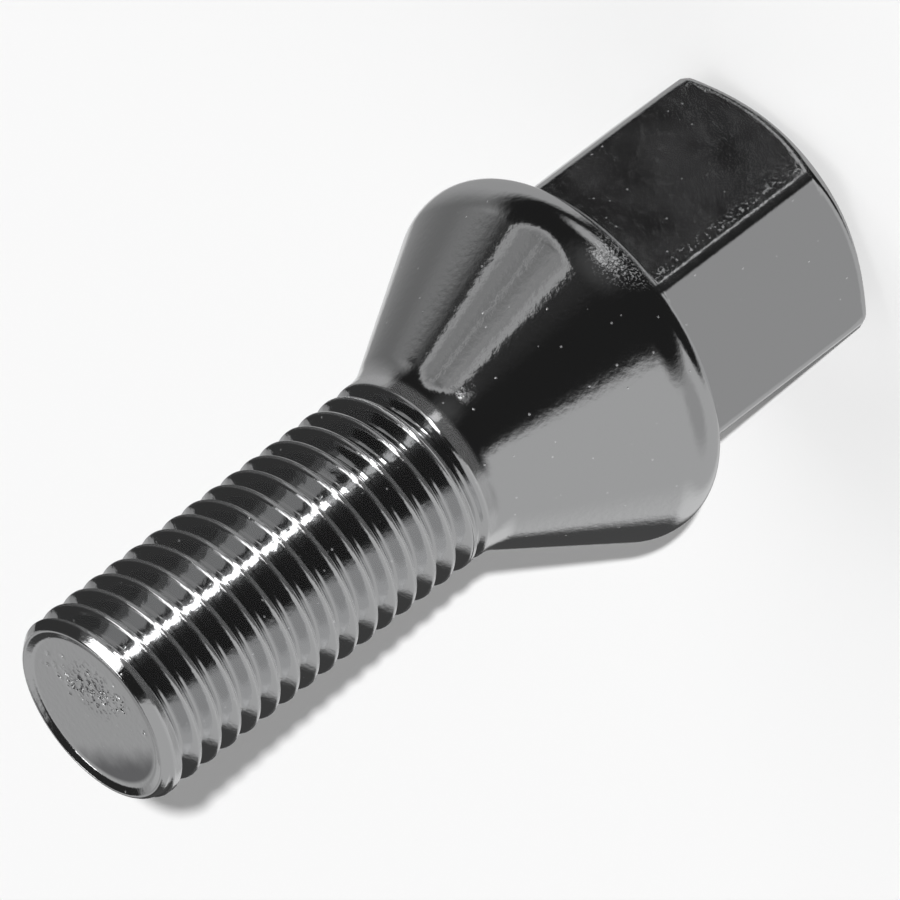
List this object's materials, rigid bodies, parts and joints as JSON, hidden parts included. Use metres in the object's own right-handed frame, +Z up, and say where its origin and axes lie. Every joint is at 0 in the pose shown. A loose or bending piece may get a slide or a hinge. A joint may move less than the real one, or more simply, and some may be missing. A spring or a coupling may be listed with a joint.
{
  "type": "lug bolt",
  "caption": "Chromed lug bolt for a road wheel: hexagon head, rounded collar, tapered cone seat and a fully threaded shank with a chamfered tip whose flat face is a little sunk.",
  "frame": {"origin": "centre of the flat end of the hexagon head, on which the bolt stands", "axes": "+Z up the bolt's axis from the head to the threaded tip; one corner of the hexagon points along -Y and one along +Y, flats face +X and -X"},
  "size_m": [0.0228, 0.0228, 0.0524],
  "materials": {
    "chrome_plate": "bright chrome plate over forged and rolled steel"
  },
  "bodies": {
    "root": {"lug_bolt": "chrome_plate"}
  },
  "joints": []
}
